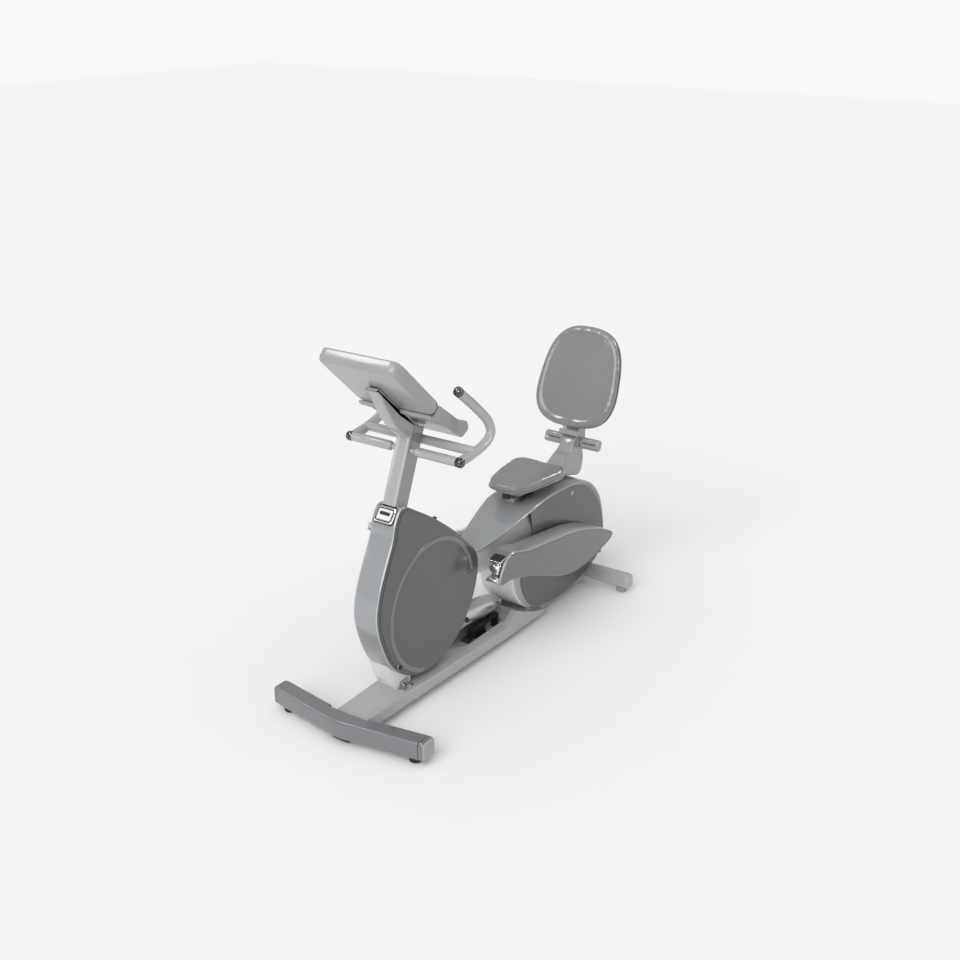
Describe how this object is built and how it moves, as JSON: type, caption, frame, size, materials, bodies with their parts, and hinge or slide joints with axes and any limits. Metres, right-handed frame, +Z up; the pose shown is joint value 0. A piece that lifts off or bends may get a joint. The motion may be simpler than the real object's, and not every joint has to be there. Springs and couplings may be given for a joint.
{
  "type": "recumbent exercise bike",
  "caption": "Recumbent exercise machine with swinging pedal arms, flywheel drive, sliding reclining seat, raised console and handlebar on a long floor beam.",
  "frame": {"origin": "on the floor, under the middle of the whole machine", "axes": "+X towards the console, +Y to the rider's left, +Z up"},
  "size_m": [1.6105, 0.64, 1.2817],
  "materials": {
    "light_paint": "glossy light grey paint",
    "dark_paint": "glossy mid grey paint",
    "shell_plastic": "glossy grey moulded plastic",
    "panel_plastic": "dark grey moulded plastic, lightly glossy",
    "console_plastic": "light grey moulded plastic",
    "black_plastic": "black moulded plastic",
    "cushion_vinyl": "glossy grey vinyl over foam",
    "rubber": "black rubber",
    "steel": "machined steel",
    "chrome": "polished chrome",
    "cast_iron": "satin black-grey casting",
    "screen_glass": "dark gloss screen cover"
  },
  "bodies": {
    "base": {"front_stabilizer": "dark_paint", "front_cap_left": "console_plastic", "front_cap_right": "console_plastic", "front_foot_left": "rubber", "front_foot_right": "rubber", "rear_stabilizer": "light_paint", "rear_foot_left": "rubber", "rear_foot_right": "rubber", "main_beam": "light_paint", "pack_clamp": "black_plastic", "power_pack": "shell_plastic", "clamp_bolt": "steel", "frame_post": "cast_iron", "post_bracket": "steel", "front_shell_left": "shell_plastic", "front_shell_right": "shell_plastic", "front_panel_left": "panel_plastic", "front_panel_right": "panel_plastic", "cable_plug": "rubber", "latch_bezel": "chrome", "housing_boot": "console_plastic", "flywheel_axle": "steel", "rear_shell_left": "shell_plastic", "rear_shell_right": "shell_plastic", "rear_panel_left": "panel_plastic", "rear_panel_right": "panel_plastic", "rear_frame": "cast_iron", "rear_belt": "rubber", "front_belt": "rubber"},
    "roller": {"transport_roller": "rubber"},
    "mast": {"mast": "light_paint", "handlebar": "light_paint", "console_bracket": "light_paint"},
    "console": {"console_body": "console_plastic", "console_screen": "screen_glass", "reading_tray": "console_plastic"},
    "level_down": {"level_down_button": "black_plastic"},
    "start": {"start_button": "black_plastic"},
    "level_up": {"level_up_button": "black_plastic"},
    "latch": {"latch_paddle": "steel"},
    "knob": {"mast_knob": "console_plastic"},
    "flywheel": {"flywheel": "cast_iron"},
    "brake": {"brake_arm": "steel"},
    "jackshaft": {"jackshaft": "steel"},
    "drive_pulley": {"drive_pulley": "steel"},
    "left_arm": {"left_arm": "shell_plastic", "left_hub": "steel", "left_pedal_pin": "steel"},
    "left_pedal": {"left_pedal": "chrome"},
    "right_arm": {"right_arm": "shell_plastic", "right_hub": "steel", "right_pedal_pin": "steel"},
    "right_pedal": {"right_pedal": "chrome"},
    "seat": {"seat_carriage": "black_plastic", "seat_pad": "cushion_vinyl", "support_arm": "dark_paint"},
    "seat_lever": {"seat_lock_lever": "black_plastic"},
    "backrest": {"backrest_pad": "cushion_vinyl", "backrest_shell": "panel_plastic", "backrest_bracket": "light_paint"}
  },
  "joints": [
    {"name": "roller_spin", "type": "hinge", "parent": "base", "child": "roller", "pos_m": [0.769, 0, 0.026], "axis": [0, 1, 0], "continuous": true},
    {"name": "mast_height", "type": "slide", "parent": "base", "child": "mast", "axis": [-0.3746, 0, 0.9272], "range_m": [0, 0.08]},
    {"name": "console_tilt", "type": "hinge", "parent": "mast", "child": "console", "pos_m": [0.56559, 0, 1.15481], "axis": [0, 1, 0], "range_deg": [0, 15]},
    {"name": "level_down_press", "type": "slide", "parent": "console", "child": "level_down", "axis": [0.682, 0, -0.7314], "range_m": [0, 0.0015]},
    {"name": "start_press", "type": "slide", "parent": "console", "child": "start", "axis": [0.682, 0, -0.7314], "range_m": [0, 0.0015]},
    {"name": "level_up_press", "type": "slide", "parent": "console", "child": "level_up", "axis": [0.682, 0, -0.7314], "range_m": [0, 0.0015]},
    {"name": "latch_release", "type": "hinge", "parent": "base", "child": "latch", "pos_m": [0.50913, 0, 0.7331], "axis": [0, -1, 0], "range_deg": [0, 40]},
    {"name": "knob_pull", "type": "slide", "parent": "base", "child": "knob", "axis": [0, -1, 0], "range_m": [0, 0.008]},
    {"name": "flywheel_spin", "type": "hinge", "parent": "base", "child": "flywheel", "pos_m": [0.338, 0, 0.337], "axis": [0, 1, 0], "continuous": true},
    {"name": "brake_swing", "type": "hinge", "parent": "base", "child": "brake", "pos_m": [0.28574, 0, 0.54658], "axis": [0, 1, 0], "range_deg": [0, 8]},
    {"name": "jackshaft_spin", "type": "hinge", "parent": "base", "child": "jackshaft", "pos_m": [-0.42, 0, 0.44], "axis": [0, 1, 0], "continuous": true},
    {"name": "drive_spin", "type": "hinge", "parent": "base", "child": "drive_pulley", "pos_m": [-0.49, 0, 0.265], "axis": [0, 1, 0], "continuous": true},
    {"name": "left_arm_swing", "type": "hinge", "parent": "base", "child": "left_arm", "pos_m": [-0.49, 0, 0.265], "axis": [0, 1, 0], "range_deg": [0, 24]},
    {"name": "left_pedal_tilt", "type": "hinge", "parent": "left_arm", "child": "left_pedal", "pos_m": [0.052, 0, 0.378], "axis": [0, 1, 0], "range_deg": [-20, 20]},
    {"name": "right_arm_swing", "type": "hinge", "parent": "base", "child": "right_arm", "pos_m": [-0.49, 0, 0.265], "axis": [0, 1, 0], "range_deg": [0, 24]},
    {"name": "right_pedal_tilt", "type": "hinge", "parent": "right_arm", "child": "right_pedal", "pos_m": [0.052, 0, 0.378], "axis": [0, 1, 0], "range_deg": [-20, 20]},
    {"name": "seat_slide", "type": "slide", "parent": "base", "child": "seat", "axis": [1, 0, 0], "range_m": [-0.08, 0]},
    {"name": "seat_lever_release", "type": "hinge", "parent": "seat", "child": "seat_lever", "pos_m": [-0.3, 0, 0.529], "axis": [0, -1, 0], "range_deg": [0, 10]},
    {"name": "backrest_recline", "type": "hinge", "parent": "seat", "child": "backrest", "pos_m": [-0.6674, 0, 0.62023], "axis": [0, -1, 0], "range_deg": [0, 15]}
  ],
  "couplings": [
    {"joint": "jackshaft_spin", "follows": "flywheel_spin", "ratio": 0.66667},
    {"joint": "drive_spin", "follows": "flywheel_spin", "ratio": 0.13333}
  ]
}
